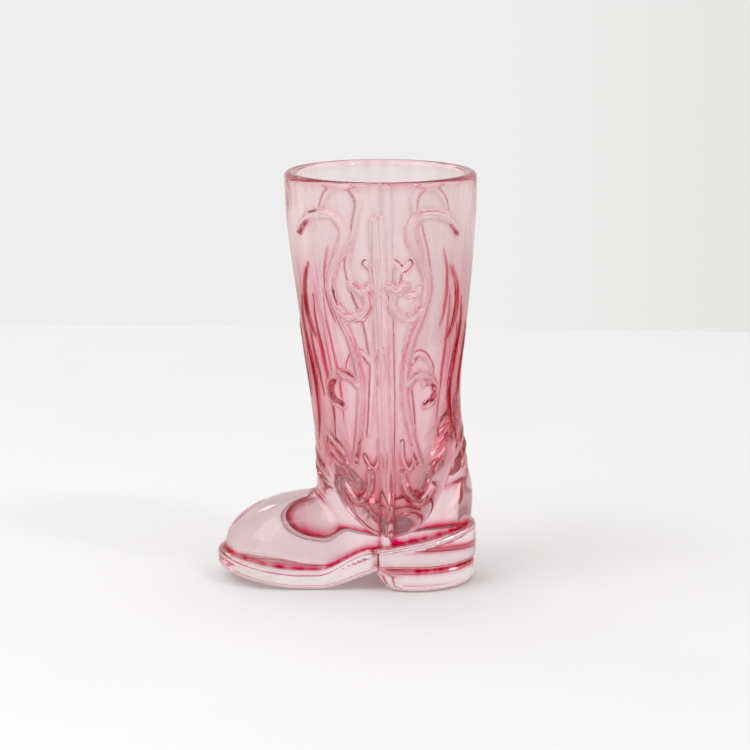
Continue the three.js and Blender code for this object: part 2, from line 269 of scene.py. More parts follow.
@dataclass(frozen=True)
class FootPlan:
    """Outline of the sole seen from above.

    The forepart has a round toe and ends behind the arch, the seat has a round heel, and the two meet
    in a valley on each side.
    """

    toe_reach: float = 34.3
    toe_length: float = 14.3
    toe_half_width: float = 14.2
    waist_x: float = -6.0
    waist_half_width: float = 13.6
    forepart_end: float = 2.5
    forepart_corner: float = 3.0
    heel_reach: float = 20.2
    heel_length: float = 13.2
    heel_half_width: float = 15.0
    seat_front: float = -0.5
    seat_corner: float = 4.5
    valley_blend: float = 0.8
    ledge: float = 1.6

    @property
    def axis_x(self) -> float:
        """Gives the x of the leg's axis in the part's frame, which is centred on the length."""
        return 0.5 * (self.toe_reach - self.heel_reach)

    @property
    def toe_centre(self) -> float:
        """Gives the x where the round of the toe starts."""
        return self.toe_length - self.toe_reach

    @property
    def heel_centre(self) -> float:
        """Gives the x where the round of the heel starts."""
        return self.heel_reach - self.heel_length

    def side(self, x: Array) -> Array:
        """Gives half of the forepart's width behind the round of the toe."""
        curve = Profile(
            (self.toe_centre - self.toe_length, self.toe_half_width),
            (self.toe_centre, self.toe_half_width),
            (self.waist_x, self.waist_half_width),
            (self.forepart_end, self.waist_half_width),
        )
        return curve(x)

    @staticmethod
    def oval(end: Array, length: float, y: Array, width: Array | float) -> Array:
        """Gives the distance from a straight side that closes in a quarter ellipse.

        Args:
            end: how far each point lies past the start of the round end, 0 before it.
            length: length of the round end.
            y: places across the foot.
            width: half of the width at each point.

        Returns:
            Distance in plan, negative inside.
        """
        along = end / length
        across = np.abs(y) / width
        share = np.maximum(np.sqrt(along**2 + across**2), TINY)
        growth = np.sqrt((along / length) ** 2 + (across / width) ** 2) / share
        return (share - 1.0) / np.maximum(growth, LEAST_GROWTH)

    def heel_round(self, x: Array, y: Array) -> Array:
        """Gives the distance from the outline of the heel, open towards the toe."""
        end = np.maximum(x - self.heel_centre, 0.0)
        return self.oval(end, self.heel_length, y, self.heel_half_width)

    def distance(self, x: Array, y: Array) -> Array:
        """Gives the distance from the outline in plan, negative inside."""
        end = np.maximum(self.toe_centre - x, 0.0)
        forepart = self.oval(end, self.toe_length, y, self.side(x))
        forepart = rounded_overlap(forepart, x - self.forepart_end, self.forepart_corner)
        seat = rounded_overlap(self.heel_round(x, y), self.seat_front - x, self.seat_corner)
        return blended_union(forepart, seat, self.valley_blend)


@dataclass(frozen=True)
class Sole:
    """The sole: sprung at the toe, flat under the ball, raised at the arch, climbing to the heel."""

    plan: FootPlan
    toe_spring: float = 2.6
    spring_curve: float = 1.3
    ball_front: float = -16.0
    ball_back: float = -12.5
    arch_end: float = 4.0
    climb_start: float = -1.0
    heel_height: float = 4.4
    thickness: float = 3.9
    seat_climb: float = 4.0
    edge: float = 1.3

    def spring(self, x: Array) -> Array:
        """Gives how far the toe is raised in front of the ball."""
        ahead = np.maximum(self.ball_front - x, 0.0) / (self.plan.toe_reach + self.ball_front)
        return self.toe_spring * ahead**self.spring_curve

    def bottom(self, x: Array) -> Array:
        """Gives the height of the underside along the foot."""
        return self.spring(x) + self.heel_height * smooth_step(self.ball_back, self.arch_end, x)

    def top(self, x: Array) -> Array:
        """Gives the height of the ledge along the foot."""
        climb = np.clip((x - self.climb_start) / (self.plan.heel_reach - self.climb_start), 0.0, 1.0)
        rise = self.heel_height * smooth_step(self.ball_back, self.climb_start, x)
        return self.spring(x) + rise + self.thickness + self.seat_climb * climb

    def middle(self, x: Array) -> Array:
        """Gives the height halfway through the sole."""
        return 0.5 * (self.bottom(x) + self.top(x))

    def distance(self, x: Array, y: Array, z: Array) -> Array:
        """Gives the distance from the sole, with its edges rounded over."""
        half = 0.5 * (self.top(x) - self.bottom(x))
        through = np.abs(z - self.middle(x)) - half
        return rounded_overlap(self.plan.distance(x, y), through, self.edge)


@dataclass(frozen=True)
class Heel:
    """The heel block: the back of the sole's outline closed by a breast that slopes to the toe."""

    plan: FootPlan
    sole: Sole
    breast_x: float = 2.0
    breast_lean: float = -0.75
    corner: float = 4.5
    inset: float = 0.4
    edge: float = 0.9

    def distance(self, x: Array, y: Array, z: Array) -> Array:
        """Gives the distance from the heel block."""
        breast = self.breast_x + self.breast_lean * z - x
        outline = rounded_overlap(self.plan.heel_round(x, y) + self.inset, breast, self.corner)
        half = 0.5 * self.sole.heel_height
        return rounded_overlap(outline, np.abs(z - half) - half, self.edge)


@dataclass(frozen=True)
class Vamp:
    """The front of the foot: a dome on the sole's outline, with a ridge line that falls to the toe."""

    plan: FootPlan
    sole: Sole
    height: float = 18.4
    crest_x: float = -8.0
    ridge_curve: float = 2.2
    arch: float = 2.4
    nearest_tip: float = 0.995
    bury: float = 2.0
    sink_start: float = -6.0
    sink_end: float = 6.0
    sink: float = 3.0
    end_x: float = 8.0

    def rise(self, x: Array) -> Array:
        """Gives the height of the dome over its base, before the toe rounds it off.

        Args:
            x: places along the foot.

        Returns:
            Height in millimetres.
        """
        tip = self.plan.ledge - self.plan.toe_reach
        tip_height = self.sole.top(np.array(tip))
        inside = np.clip((self.crest_x - x) / (self.crest_x - tip), 0.0, self.nearest_tip)
        fall = (1.0 - inside**self.ridge_curve) ** (1.0 / self.ridge_curve)
        ridge = tip_height + (self.height - tip_height) * fall
        toe = np.maximum(self.plan.toe_centre - x, 0.0) / (self.plan.toe_length - self.plan.ledge)
        rounding = (1.0 - np.clip(toe, 0.0, self.nearest_tip) ** self.arch) ** (1.0 / self.arch)
        return (ridge - self.sole.top(x) + self.bury) / rounding

    def distance(self, x: Array, y: Array, z: Array) -> Array:
        """Gives the distance from the vamp, which sinks into the leg behind the instep.

        Args:
            x: places along the foot.
            y: places across the foot.
            z: heights.

        Returns:
            Distance in millimetres, negative inside.
        """
        inset = self.plan.ledge + self.sink * smooth_step(self.sink_start, self.sink_end, x)
        length = self.plan.toe_length - self.plan.ledge
        width = self.plan.side(x) - inset
        along = np.maximum(self.plan.toe_centre - x, 0.0) / length
        across = np.abs(y) / width
        plan_share = np.sqrt(along**2 + across**2)
        rise = self.rise(x)
        up = np.maximum(z - self.sole.top(x) + self.bury, 0.0) / rise
        share = np.maximum(plan_share**self.arch + up**self.arch, TINY) ** (1.0 / self.arch)
        pull = (plan_share / share) ** (self.arch - 1.0) / np.maximum(plan_share, TINY)
        growth_plan = pull * np.sqrt((along / length) ** 2 + (across / width) ** 2)
        growth_up = (up / share) ** (self.arch - 1.0) / rise
        skin = (share - 1.0) / np.sqrt(growth_plan**2 + growth_up**2 + LEAST_GROWTH**2)
        ends = np.maximum(self.sole.middle(x) - z, x - self.end_x)
        return np.maximum(skin, ends)


@dataclass(frozen=True)
class ScrollLine:
    """One raised stitch line on a quarter of the leg.

    Each point is given as degrees from the side seam and percent of the height of the panel.
    """

    points: tuple[Span, ...]
    half_width: float = 1.0
    rise: float = 0.75
    pointed: bool = False


@dataclass(frozen=True)
class Stitching:
    """Raised stitching of a western boot, the same on all four quarters of the leg.

    The flanks carry a seam and scrolls, and the front and the back carry low pointed rows.
    """

    panel_foot: float = 16.0
    panel_top: float = 80.0
    mean_radius: float = 17.0
    step: float = 0.15
    margin: int = 3
    bar_curve: float = 1.4
    joining: int = 4
    seam_half_width: float = 1.5
    seam_rise: float = 0.85
    seam_top: float = 78.0
    row_half_width: float = 1.15
    row_rise: float = 0.25
    row_tip: float = 0.05
    rows: tuple[tuple[Span, ...], ...] = (
        ((50, 82), (57, 76), (60, 69), (57, 62), (51, 57)),
        ((66, 70), (68, 61), (64, 51), (60, 41), (61, 31), (67, 22)),
        ((80, 62), (81, 53), (77, 44), (74, 36)),
    )
    scrolls: tuple[ScrollLine, ...] = (
        ScrollLine(
            (
                (56, 92), (46, 97), (34, 99), (25, 98), (20, 93), (24, 87), (31, 79), (32, 73),
                (27, 65), (21, 58), (17, 49), (16, 41), (18, 33), (21, 25), (25, 17),
            )
        ),
        ScrollLine(((8, 73), (8, 69), (14, 66), (23, 66), (27, 68))),
        ScrollLine(((5, 76), (11, 74), (17, 76))),
        ScrollLine(((18, 43), (25, 46), (33, 46), (41, 43), (43, 40), (39, 37), (33, 36))),
        ScrollLine(((12, 14), (14, 8), (23, 4), (34, 9))),
    )

    def pointed_rows(self) -> tuple[ScrollLine, ...]:
        """Gives the low rows on the front and the back of the leg as lines."""
        return tuple(ScrollLine(points, self.row_half_width, self.row_rise, True) for points in self.rows)

    def panel_height(self, percent: Array) -> Array:
        """Turns percent of the panel into a height in millimetres."""
        return self.panel_foot + (self.panel_top - self.panel_foot) * percent / 100.0

    def drawn(self, line: ScrollLine, pieces: int = 12) -> Array:
        """Draws a line as a smooth run of points.

        Args:
            line: the line to draw.
            pieces: points between two neighbours of the line.

        Returns:
            Points as arc length from the seam and height, in millimetres.
        """
        degrees, percent = np.array(line.points, dtype=float).T
        given = np.column_stack([np.radians(degrees) * self.mean_radius, self.panel_height(percent)])
        ends = np.vstack([2 * given[0] - given[1], given, 2 * given[-1] - given[-2]])
        share = np.linspace(0.0, 1.0, pieces, endpoint=False)[:, None]
        runs = []
        for before, start, end, after in zip(ends[:-3], ends[1:-2], ends[2:-1], ends[3:]):
            bend = (2 * before - 5 * start + 4 * end - after) * share**2
            bend += (3 * start - before - 3 * end + after) * share**3
            runs.append(0.5 * (2 * start + (end - before) * share + bend))
        return np.vstack([*runs, given[-1:]])

    def bar(self, away: Array, rise: float) -> Array:
        """Gives the rounded cross-section of a raised line at a distance in half widths from its middle."""
        share = np.clip(away, 0.0, 1.0)
        return rise * (1.0 - share**2) ** self.bar_curve

    def relief_map(self, low: float, high: float, lines: tuple[ScrollLine, ...], seam_rise: float) -> Array:
        """Draws the relief of one quarter as heights on a grid of arc length and height.

        Args:
            low: lowest height of the grid in millimetres.
            high: highest height of the grid in millimetres.
            lines: lines to draw.
            seam_rise: rise of the side seam, 0 to leave it out.

        Returns:
            Rise of the relief, one row per step of arc length.
        """
        quarter = 0.5 * math.pi * self.mean_radius
        arc = np.arange(-self.margin * self.step, quarter + self.margin * self.step, self.step)
        tall = np.arange(low, high + self.margin * self.step, self.step)
        arc_at, tall_at = np.meshgrid(arc, tall, indexing="ij")
        seam_end = np.maximum(tall_at - self.seam_top, 0.0)
        total = self.bar(np.hypot(arc_at, seam_end) / self.seam_half_width, seam_rise) ** self.joining
        for line in lines:
            nearest = np.full(arc_at.shape, np.inf)
            points = self.drawn(line)
            widths = np.full(len(points), line.half_width)
            if line.pointed:
                widths *= np.sin(np.linspace(self.row_tip, 1.0 - self.row_tip, len(points)) * math.pi)
            for start, end, width in zip(points[:-1], points[1:], widths):
                run = end - start
                share = (arc_at - start[0]) * run[0] + (tall_at - start[1]) * run[1]
                share = np.clip(share / max(run @ run, TINY), 0.0, 1.0)
                away = np.hypot(arc_at - start[0] - share * run[0], tall_at - start[1] - share * run[1])
                nearest = np.minimum(nearest, away / width)
            total += self.bar(nearest, line.rise) ** self.joining
        return total ** (1.0 / self.joining)


@dataclass(frozen=True)
class Folds:
    """Small folds of the leather at the front and the back of the ankle, where a boot bends."""

    front_height: float = 24.5
    back_height: float = 29.0
    spread: float = 4.0
    reach: float = 0.7
    pitch: float = 3.6
    drop: float = 8.0
    rise: float = 0.36

    def raised(self, turn: Array, ahead: Array, z: Array) -> Array:
        """Gives the rise of the folds, flat facets that meet at ridges and creases.

        Args:
            turn: angle from the side seam in radians.
            ahead: true on the toe side of the leg.
            z: heights in millimetres.

        Returns:
            Rise in millimetres.
        """
        aside = 0.5 * math.pi - turn
        middle = np.where(ahead, self.front_height, self.back_height)
        strength = np.exp(-((aside / self.reach) ** 2) - ((z - middle) / self.spread) ** 2)
        share = (z - middle + self.drop * aside) / self.pitch
        return self.rise * strength * np.abs(2.0 * (share - np.floor(share)) - 1.0)


@dataclass
class Leg:
    """The leg: a round lip above, an egg-shaped ankle below, with stitching and folds on its skin.

    The toe side, the heel side and the flanks are given as heights and the reach from the axis there.
    """

    plan: FootPlan
    sole: Sole
    stitching: Stitching
    folds: Folds
    height: float = 86.0
    rim_radius: float = 20.0
    ankle_centre: float = 2.0
    ankle_height: float = 25.0
    ankle_front: float = 13.3
    toe_side: tuple[Span, ...] = ((40, 14.8), (60, 17.4), (76, 19.5))
    heel_side: tuple[Span, ...] = ((18.5, 19.4), (25, 18.2), (40, 16.8), (60, 18.6), (76, 19.8))
    flanks: tuple[Span, ...] = ((25, 13.5), (40, 15.0), (60, 17.5), (76, 19.5))
    lip: float = 1.1
    bury: float = 2.0
    relief_reach: float = 2.0
    end_gap: float = 0.001
    low: float = field(init=False)
    front: Profile = field(init=False)
    back: Profile = field(init=False)
    side: Profile = field(init=False)
    centre: Profile = field(init=False)
    rows: Array = field(init=False)
    relief: Array = field(init=False)

    def __post_init__(self) -> None:
        """Draws the outline curves and the relief."""
        middle = np.array(self.ankle_centre)
        self.low = float(self.sole.top(middle)) - self.bury
        seat_side = float(self.plan.side(middle)) - self.plan.ledge
        seat_back = self.plan.heel_reach - self.plan.ledge
        rim = (self.height, self.rim_radius)
        ankle = (self.ankle_height, self.ankle_front)
        self.front = Profile((self.low, self.ankle_front), ankle, *self.toe_side, rim)
        self.back = Profile((self.low, seat_back), *self.heel_side, rim)
        self.side = Profile((self.low, seat_side), *self.flanks, rim)
        self.centre = Profile(
            (self.low, self.ankle_centre), (self.ankle_height, self.ankle_centre), (self.height, 0.0)
        )
        drawn = self.stitching
        self.rows = drawn.relief_map(self.low, self.height, drawn.pointed_rows(), 0.0)
        scrolls = drawn.relief_map(self.low, self.height, drawn.scrolls, drawn.seam_rise)
        self.relief = np.maximum(scrolls, self.rows)

    def cells(self, at: Array, count: int) -> tuple[Array, Array]:
        """Splits places on a grid of some count into cell numbers and the shares past them.

        Args:
            at: places in steps of the grid, moved to where they have neighbours on both sides.
            count: number of grid points.

        Returns:
            Numbers of the cells and shares from 0 to 1.
        """
        at = np.clip(at, 1.0, count - 3.0 - self.end_gap)
        number = at.astype(int)
        return number, at - number

    def reading(self, relief: Array, turn: Array, z: Array) -> Array:
        """Reads a relief at a turn from the side seam and a height, smoothly between its grid points.

        Args:
            relief: rises on a grid of arc length and height.
            turn: angle from the side seam in radians, from 0 to a quarter turn.
            z: heights in millimetres.

        Returns:
            Rise of the relief in millimetres.
        """
        drawn = self.stitching
        column, across = self.cells(turn * drawn.mean_radius / drawn.step + drawn.margin, relief.shape[0])
        row, along = self.cells((z - self.low) / drawn.step, relief.shape[1])
        along_weights = self.cubic_weights(along)
        total = np.zeros(across.shape)
        for i, across_weight in enumerate(self.cubic_weights(across)):
            for j, along_weight in enumerate(along_weights):
                total += across_weight * along_weight * relief[column + i - 1, row + j - 1]
        return total

    @staticmethod
    def cubic_weights(share: Array) -> tuple[Array, Array, Array, Array]:
        """Gives the weights of four neighbours for a smooth reading between the middle two."""
        keep = 1.0 - share
        return (
            keep**3 / 6.0,
            (4.0 - 6.0 * share**2 + 3.0 * share**3) / 6.0,
            (4.0 - 6.0 * keep**2 + 3.0 * keep**3) / 6.0,
            share**3 / 6.0,
        )

    def reach(self, x: Array, z: Array) -> tuple[Array, Array, Array]:
        """Gives the middle of the leg, its reach to the toe or heel side, and its reach to both sides."""
        centre = self.centre(z)
        along = np.where(x < centre, self.front(z) + centre, self.back(z) - centre)
        return centre, along, self.side(z)

    def turn(self, x: Array, y: Array, z: Array) -> Array:
        """Gives the angle of each place from the side seam, from 0 to a quarter turn."""
        centre, along, side = self.reach(x, z)
        return np.arctan2(np.abs(x - centre) / along, np.abs(y) / side)

    def distance(self, x: Array, y: Array, z: Array) -> Array:
        """Gives the distance from the leg's skin, relief included.

        Args:
            x: places along the foot.
            y: places across the foot.
            z: heights.

        Returns:
            Distance in millimetres, negative inside.
        """
        centre, along, side = self.reach(x, z)
        along_share = (x - centre) / along
        side_share = np.abs(y) / side
        share = np.sqrt(along_share**2 + side_share**2)
        growth = np.sqrt((along_share / along) ** 2 + (side_share / side) ** 2)
        skin = (share - 1.0) * share / np.maximum(growth, LEAST_GROWTH)
        near = np.abs(skin) < self.relief_reach
        turn = np.arctan2(np.abs(along_share), side_share)[near]
        heights = np.broadcast_to(z, skin.shape)[near]
        ahead = np.broadcast_to(x < centre, skin.shape)[near]
        raised = np.zeros(skin.shape)
        raised[near] = self.reading(self.relief, turn, heights) + self.folds.raised(turn, ahead, heights)
        low = self.sole.middle(x) - z
        return np.maximum(rounded_overlap(skin - raised, z - self.height, self.lip), low)


@dataclass(frozen=True)
class Cavity:
    """The space for the drink, left by a round plunger with a blunt tip that leans to the heel."""

    rim_height: float
    floor: float = 9.6
    tip: float = 10.5
    waist_radius: float = 12.0
    waist_z: float = 30.0
    mouth_radius: float = 17.5
    lean: float = 2.4
    solving_rounds: int = 8
    furthest: float = 1.2
    probe: float = 0.05
    least_across: float = 0.01

    def radius_squared(self, z: Array) -> Array:
        """Gives the square of the radius at each height, going on below 0 under the floor.

        The wall is a cubic curve whose first two points lie level with the floor, so the place on the
        curve is solved for from the height.

        Args:
            z: heights in millimetres.

        Returns:
            Squared radius in square millimetres.
        """
        lift = self.waist_z - self.floor
        full = self.rim_height - self.floor
        over_floor = np.asarray(z, dtype=float) - self.floor
        above = np.maximum(over_floor, 0.0)
        along = np.sqrt(np.minimum(above / full, 1.0))
        for _ in range(self.solving_rounds):
            height = 3.0 * lift * (along**2 - along**3) + full * along**3
            slope = 3.0 * lift * (2.0 * along - 3.0 * along**2) + 3.0 * full * along**2
            along = np.clip(along - (height - above) / np.maximum(slope, TINY), 0.0, self.furthest)
        radius = 3.0 * (1 - along) ** 2 * along * self.tip
        radius = radius + 3.0 * (1 - along) * along**2 * self.waist_radius
        radius = radius + along**3 * self.mouth_radius
        tip_slope = 3.0 * self.tip**2 / lift
        return radius**2 + tip_slope * np.minimum(over_floor, 0.0)

    def distance(self, x: Array, y: Array, z: Array) -> Array:
        """Gives the distance from the wall of the space.

        Args:
            x: places along the foot.
            y: places across the foot.
            z: heights.

        Returns:
            Distance in millimetres, negative in the drink.
        """
        depth = np.maximum((self.rim_height - z) / (self.rim_height - self.floor), 0.0)
        across = (x - self.lean * depth) ** 2 + y**2
        above = self.radius_squared(z + self.probe)
        below = self.radius_squared(z - self.probe)
        slope = (above - below) / (2.0 * self.probe)
        steep = np.sqrt(4.0 * np.maximum(across, self.least_across) + slope**2)
        return (across - self.radius_squared(z)) / steep


# Turning the fields into a mesh


@dataclass(frozen=True)
class NetMesher:
    """Turns a distance field into a net of four-sided faces, pulled onto the exact skin."""

    cell: float = 0.505
    x_range: Span = (-36.0, 22.0)
    half_width: float = 22.0
    z_range: Span = (-1.6, 88.0)
    relax_rounds: int = 4
    parting_rounds: int = 3
    just_inside: float = -0.001
    probe: float = 0.02
    least_steepness: float = 0.05
    longest_pull: float = 0.5

    def gradient(self, form: Field, points: Array, probe: float) -> Array:
        """Measures how a field grows at some points.

        Args:
            form: the distance field.
            points: places in millimetres, one row each.
            probe: half of the distance between two readings.

        Returns:
            One vector per point.
        """
        x, y, z = points.T
        return np.column_stack(
            [
                form(x + probe, y, z) - form(x - probe, y, z),
                form(x, y + probe, z) - form(x, y - probe, z),
                form(x, y, z + probe) - form(x, y, z - probe),
            ]
        ) / (2.0 * probe)

    def bend(self, form: Field, points: Array, probe: float) -> Array:
        """Measures how a skin bends at some points.

        Args:
            form: the distance field.
            points: places in millimetres, one row each.
            probe: distance from each point to the six readings round it.

        Returns:
            One value per point, above 0 on a ridge and below 0 in a crease.
        """
        x, y, z = points.T
        total = -6.0 * form(x, y, z)
        for step in (-probe, probe):
            total += form(x + step, y, z) + form(x, y + step, z) + form(x, y, z + step)
        return total / probe**2

    def parted(self, values: Array) -> Array:
        """Fills grid faces whose corners lie inside and outside in turns, where the net would meet itself.

        It looks several times, as a filled face may leave another one beside it.

        Args:
            values: readings of the field on the grid.

        Returns:
            Readings without such faces.
        """
        for _ in range(self.parting_rounds):
            inside = values < 0.0
            fill = np.zeros(values.shape, dtype=bool)
            for axes in ((0, 1), (0, 2), (1, 2)):
                corners = []
                for shifts in ((0, 0), (1, 0), (1, 1), (0, 1)):
                    corner = [slice(None)] * 3
                    for axis, shift in zip(axes, shifts):
                        corner[axis] = slice(shift, values.shape[axis] - 1 + shift)
                    corners.append(tuple(corner))
                first, second, third, fourth = (inside[corner] for corner in corners)
                in_turns = (first == third) & (second == fourth) & (first != second)
                for corner in corners:
                    fill[corner] |= in_turns
            values = np.where(fill & ~inside, self.just_inside, values)
        return values

    def net(self, form: Field) -> tuple[Array, Array]:
        """Builds the net, with one point in each grid cell that the skin runs through.

        Args:
            form: the distance field, the same on both sides of y = 0.

        Returns:
            Points in millimetres and faces of four point numbers.
        """
        half = int(math.ceil(self.half_width / self.cell))
        xs = np.arange(*self.x_range, self.cell)
        ys = self.cell * np.arange(0, half + 1)
        zs = np.arange(*self.z_range, self.cell)
        near = form(xs[:, None, None], ys[None, :, None], zs[None, None, :])
        values = self.parted(np.concatenate([near[:, :0:-1], near], axis=1))
        inside = values < 0.0
        cells = tuple(np.array(values.shape) - 1)
        count = np.zeros(cells)
        place = np.zeros(cells + (3,))
        for axis in range(3):
            others = [a for a in range(3) if a != axis]
            for shift in ((0, 0), (0, 1), (1, 0), (1, 1)):
                start = [0, 0, 0]
                start[others[0]], start[others[1]] = shift
                low = tuple(slice(s, s + n) for s, n in zip(start, cells))
                start[axis] = 1
                high = tuple(slice(s, s + n) for s, n in zip(start, cells))
                crossing = inside[low] != inside[high]
                share = values[low][crossing] / (values[low][crossing] - values[high][crossing])
                corner = np.zeros((share.size, 3))
                corner[:, axis] = share
                corner[:, others[0]], corner[:, others[1]] = shift
                place[crossing] += corner
                count[crossing] += 1.0
        used = count > 0
        number = np.full(cells, -1)
        number[used] = np.arange(int(used.sum()))
        steps = np.argwhere(used) + place[used] / count[used][:, None]
        points = np.array([xs[0], -ys[-1], zs[0]]) + self.cell * steps
        return points, self.faces(inside, number)

    @staticmethod
    def faces(inside: Array, number: Array) -> Array:
        """Joins the four cells round each crossed grid edge into a face that looks outwards.

        Args:
            inside: whether each grid point lies in the form.
            number: number of the point in each cell.

        Returns:
            Four point numbers per face.
        """
        made = []
        for axis in range(3):
            others = [(axis + 1) % 3, (axis + 2) % 3]
            low = [slice(1, -1)] * 3
            high = [slice(1, -1)] * 3
            low[axis], high[axis] = slice(0, -1), slice(1, None)
            first, second = inside[tuple(low)], inside[tuple(high)]
            at = np.argwhere(first != second)
            leaving = first[first != second]
            at[:, others] += 1
            ring = []
            for back in ((1, 1), (0, 1), (0, 0), (1, 0)):
                cell = at.copy()
                cell[:, others] -= back
                ring.append(number[tuple(cell.T)])
            quads = np.column_stack(ring)
            quads[~leaving] = quads[~leaving][:, ::-1]
            made.append(quads)
        return np.vstack(made)

    def pull(self, form: Field, points: Array) -> Array:
        """Moves points onto the skin of a field, by a share of a cell at most in one go.

        Args:
            form: the distance field.
            points: places in millimetres, one row each.

        Returns:
            The moved points.
        """
        slope = self.gradient(form, points, self.probe)
        steep = np.maximum((slope**2).sum(1), self.least_steepness)
        move = -(form(*points.T) / steep)[:, None] * slope
        size = np.maximum(np.linalg.norm(move, axis=1), TINY)
        return points + move * np.minimum(1.0, self.longest_pull * self.cell / size)[:, None]

    @staticmethod
    def evened(faces: Array, values: Array) -> Array:
        """Moves a value of each point halfway to the mean of its neighbours.

        Args:
            faces: four point numbers per face.
            values: one value per point.

        Returns:
            The evened values.
        """
        starts = faces.ravel()
        ends = np.roll(faces, -1, axis=1).ravel()
        here = np.concatenate([starts, ends])
        there = np.concatenate([ends, starts])
        total = np.bincount(here, weights=values[there], minlength=len(values))
        return 0.5 * (values + total / np.bincount(here, minlength=len(values)))

    def relaxed(self, form: Field, points: Array, faces: Array) -> Array:
        """Evens out the net along the skin and pulls it back onto the skin each time.

        Args:
            form: the distance field.
            points: places in millimetres, one row each.
            faces: four point numbers per face.

        Returns:
            The moved points.
        """
        for _ in range(self.relax_rounds):
            points = self.pull(form, np.column_stack([self.evened(faces, axis) for axis in points.T]))
        return self.pull(form, self.pull(form, points))


# Finishes


@dataclass(frozen=True)
class SprayedGlass:
    """Clear pressed soda-lime glass with a pink stain sprayed on its outside.

    Thin walls and the solid foot are equally pale, so the colour lies in a film and hardly in the mass.
    Light takes on the film's colour each time it passes, so that two walls are pink, and light that
    turns back inside the glass comes out crimson. Where the film map lies thick in creases and on the leg's
    front and back, its crimson is painted shade.
    """

    # Gives the eye pale walls, crimson creases and edges from painted shade in the film, and the slight
    # waviness of a pressed skin
    name: str = "pink_stained_pressed_glass"
    clear: str = "#ffffff"
    faintly_dull: str = "#fbf4f5"
    ior: float = 1.52
    polish: float = 0.0
    dull: float = 0.01
    dull_patch_mm: float = 14.0
    dull_patch_detail: float = 4.0
    dull_patch_range: Span = (0.45, 0.75)
    wave_mm: float = 7.0
    wave_detail: float = 1.0
    wave_depth_mm: float = 0.03
    film_colour: str = "#df005f"
    film_gloss_ior: float = 1.1
    streak_width_mm: float = 2.5
    streak_length_mm: float = 16.0
    streak_detail: float = 2.0
    streak_range: Span = (0.3, 0.7)
    streak_thickness: Span = (0.75, 1.25)
    mass_colour: str = "#e7007c"
    mass_per_m: float = 4.0

    def film(self, tree: bpy.types.NodeTree, place: bpy.types.NodeSocket) -> bpy.types.NodeSocket:
        """Adds the thickness of the film, a little streaky from spraying; its map also carries painted shade
        in creases and on the leg's front and back.

        Args:
            tree: node tree that takes the nodes.
            place: coordinates in metres.

        Returns:
            The share of the full film.
        """
        even = add_node(tree, "ShaderNodeAttribute", {"attribute_name": FILM_AND_SHADE}).outputs["Fac"]
        pattern = noise(tree, place, self.streak_width_mm, self.streak_length_mm, self.streak_detail)
        return product(tree, even, mapped(tree, pattern, self.streak_range, self.streak_thickness))

    def material(self) -> bpy.types.Material:
        """Builds the glass.

        Returns:
            The finished material.
        """
        made = empty_material(self.name)
        tree = made.node_tree
        place = add_node(tree, "ShaderNodeTexCoord").outputs["Object"]
        waves = noise(tree, place, self.wave_mm, self.wave_mm, self.wave_detail)
        depth = self.wave_depth_mm * METRES_PER_MM
        bump = add_node(tree, "ShaderNodeBump", inputs={"Height": waves, "Distance": depth})
        patches = noise(tree, place, self.dull_patch_mm, self.dull_patch_mm, self.dull_patch_detail)
        roughness = mapped(tree, patches, self.dull_patch_range, (self.polish, self.dull))
        skin = add_node(
            tree,
            "ShaderNodeBsdfPrincipled",
            inputs={
                "Base Color": mixed_colour(tree, roughness, self.clear, self.faintly_dull),
                "Roughness": roughness,
                "IOR": self.ior,
                "Transmission Weight": 1.0,
                "Normal": bump.outputs["Normal"],
                # The film map carries painted shade in creases and on the leg's front and back as well as
                # the stain
                "Coat Weight": self.film(tree, place),
                "Coat IOR": self.film_gloss_ior,
                "Coat Tint": linear_colour(self.film_colour),
            },
        )
        mass = add_node(
            tree,
            "ShaderNodeVolumeAbsorption",
            inputs={"Color": linear_colour(self.mass_colour), "Density": self.mass_per_m},
        )
        add_node(
            tree,
            "ShaderNodeOutputMaterial",
            inputs={"Surface": skin.outputs["BSDF"], "Volume": mass.outputs["Volume"]},
        )
        return made


@dataclass(frozen=True)
class PaintedBoard:
    """Matt white painted board, the table that the glass stands on."""

    # Gives the eye an even pale ground that keeps the shadow of the glass soft
    name: str = "matt_white_painted_board"
    colour: str = "#f8f7f8"
    shade: str = "#f3f2f4"
    roughness: float = 0.7
    mottle_mm: float = 60.0
    mottle_detail: float = 3.0

    def material(self) -> bpy.types.Material:
        """Builds the paint, with a faint unevenness from the roller.

        Returns:
            The finished material.
        """
        made = empty_material(self.name)
        tree = made.node_tree
        place = add_node(tree, "ShaderNodeTexCoord").outputs["Object"]
        mottle = noise(tree, place, self.mottle_mm, self.mottle_mm, self.mottle_detail)
        paint = mixed_colour(tree, mottle, self.colour, self.shade)
        skin = add_node(
            tree, "ShaderNodeBsdfPrincipled", inputs={"Base Color": paint, "Roughness": self.roughness}
        )
        add_node(tree, "ShaderNodeOutputMaterial", inputs={"Surface": skin.outputs["BSDF"]})
        return made


# The glass as one piece


class Node(Enum):
    """Names of the part's solids that the glass stands for."""

    LEG = "leg"
    VAMP = "vamp"
    SOLE = "sole"
    HEEL = "heel"


